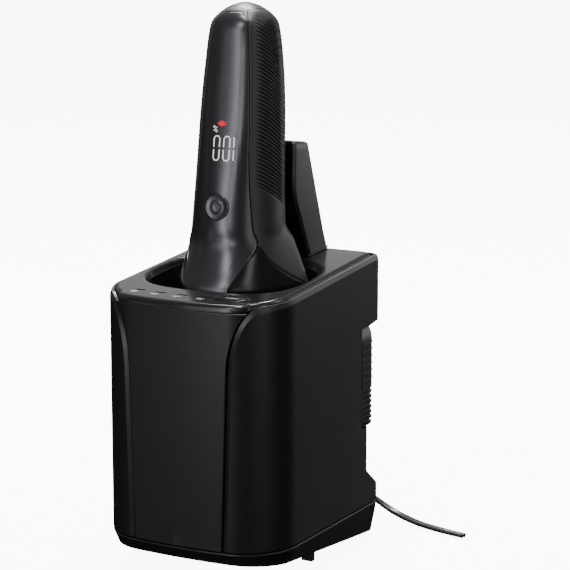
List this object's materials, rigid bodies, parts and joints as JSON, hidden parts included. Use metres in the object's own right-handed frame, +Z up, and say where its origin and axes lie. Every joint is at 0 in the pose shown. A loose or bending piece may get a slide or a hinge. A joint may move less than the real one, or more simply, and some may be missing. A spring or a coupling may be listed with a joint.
{
  "type": "electric shaver with cleaning dock",
  "caption": "Cordless foil shaver standing head-down in a charging and cleaning dock with a pull-out cartridge tray and mains cord.",
  "frame": {"origin": "centre of the dock's footprint on the table, under the foot bar's middle pad", "axes": "+Z up, front of dock and shaver towards -Y, +X to the right seen from the front"},
  "size_m": [0.1305, 0.1355, 0.2489],
  "materials": {
    "satin_black": "satin moulded black plastic",
    "gloss_black": "polished black plastic",
    "graphite": "graphite metallic lacquer on plastic",
    "grip_rubber": "soft black rubber",
    "pale_plastic": "light grey moulded plastic",
    "clear_plastic": "translucent plastic",
    "circuit_green": "solder resist on board",
    "bright_steel": "bright metal"
  },
  "bodies": {
    "dock": {"base": "satin_black", "rear_shell": "satin_black", "side_panel_left": "satin_black", "side_panel_right": "satin_black", "vent_grille": "satin_black", "well_cup": "satin_black", "charging_post": "satin_black", "fan_frame": "satin_black", "power_socket": "satin_black", "base_screw_1": "bright_steel", "base_screw_2": "bright_steel", "base_screw_3": "bright_steel", "base_screw_4": "bright_steel", "charging_contact_left": "bright_steel", "charging_contact_right": "bright_steel", "heater_block": "bright_steel", "foot_bar": "grip_rubber", "foot_rear_left": "grip_rubber", "foot_rear_right": "grip_rubber", "deck": "gloss_black", "indicator_lens_1": "clear_plastic", "indicator_lens_2": "clear_plastic", "indicator_lens_3": "clear_plastic", "indicator_lens_4": "clear_plastic", "supply_hose": "clear_plastic", "pump_body": "pale_plastic", "dock_board": "circuit_green"},
    "drawer": {"front_panel": "graphite", "cleaning_tray": "clear_plastic", "cleaning_cartridge": "pale_plastic"},
    "select_button": {"select_button": "gloss_black"},
    "fan_rotor": {"fan_rotor": "satin_black"},
    "pump_impeller": {"pump_impeller": "pale_plastic"},
    "plug": {"power_plug": "satin_black", "power_cord": "satin_black"},
    "shaver": {"handle_core": "satin_black", "front_cover": "graphite", "grip_left": "grip_rubber", "grip_right": "grip_rubber", "back_cover": "satin_black", "end_cap": "graphite", "main_board": "circuit_green", "display_module": "gloss_black", "battery": "bright_steel", "motor_stator": "bright_steel", "neck_housing": "gloss_black", "neck_seal": "grip_rubber"},
    "power_button": {"power_button": "graphite"},
    "motor_mover": {"motor_mover": "bright_steel"},
    "head_swing": {"gimbal_ring": "pale_plastic"},
    "head": {"head_carrier": "satin_black", "foil_frame": "satin_black", "outer_foils": "bright_steel"},
    "inner_blades": {"inner_blades": "bright_steel"},
    "release_button_left": {"release_button_left": "satin_black"},
    "release_button_right": {"release_button_right": "satin_black"},
    "trimmer": {"trimmer_slide": "gloss_black", "trimmer_blades": "bright_steel"}
  },
  "joints": [
    {"name": "drawer_slide", "type": "slide", "parent": "dock", "child": "drawer", "axis": [0, -1, 0], "range_m": [0, 0.07]},
    {"name": "select_press", "type": "slide", "parent": "dock", "child": "select_button", "axis": [0, 0.0889, -0.996], "range_m": [0, 0.0008]},
    {"name": "fan_spin", "type": "hinge", "parent": "dock", "child": "fan_rotor", "pos_m": [0, 0.0335, 0.075], "axis": [0, 1, 0], "continuous": true},
    {"name": "pump_spin", "type": "hinge", "parent": "dock", "child": "pump_impeller", "pos_m": [0.032, 0, 0.022], "axis": [0, 0, 1], "continuous": true},
    {"name": "plug_pull", "type": "slide", "parent": "dock", "child": "plug", "axis": [0, 1, 0], "range_m": [0, 0.009]},
    {"name": "shaver_lift", "type": "slide", "parent": "dock", "child": "shaver", "axis": [0, 0, 1], "range_m": [0, 0.12]},
    {"name": "power_press", "type": "slide", "parent": "shaver", "child": "power_button", "axis": [0, 0.9929, -0.1191], "range_m": [0, 0.0006]},
    {"name": "motor_stroke", "type": "slide", "parent": "shaver", "child": "motor_mover", "axis": [1, 0, 0], "range_m": [-0.0012, 0.0012]},
    {"name": "head_swing_turn", "type": "hinge", "parent": "shaver", "child": "head_swing", "pos_m": [0, -0.008, 0.1085], "axis": [0, 1, 0], "range_deg": [-5, 5]},
    {"name": "head_tilt", "type": "hinge", "parent": "head_swing", "child": "head", "pos_m": [0, -0.008, 0.1065], "axis": [1, 0, 0], "range_deg": [-6, 6]},
    {"name": "blade_stroke", "type": "slide", "parent": "head", "child": "inner_blades", "axis": [1, 0, 0], "range_m": [-0.0012, 0.0012]},
    {"name": "release_press_left", "type": "slide", "parent": "head", "child": "release_button_left", "axis": [1, 0, 0], "range_m": [0, 0.0008]},
    {"name": "release_press_right", "type": "slide", "parent": "head", "child": "release_button_right", "axis": [-1, 0, 0], "range_m": [0, 0.0008]},
    {"name": "trimmer_slide", "type": "slide", "parent": "shaver", "child": "trimmer", "axis": [0, -0.1521, -0.9884], "range_m": [0, 0.005]}
  ],
  "couplings": [
    {"joint": "blade_stroke", "follows": "motor_stroke", "ratio": 1}
  ]
}
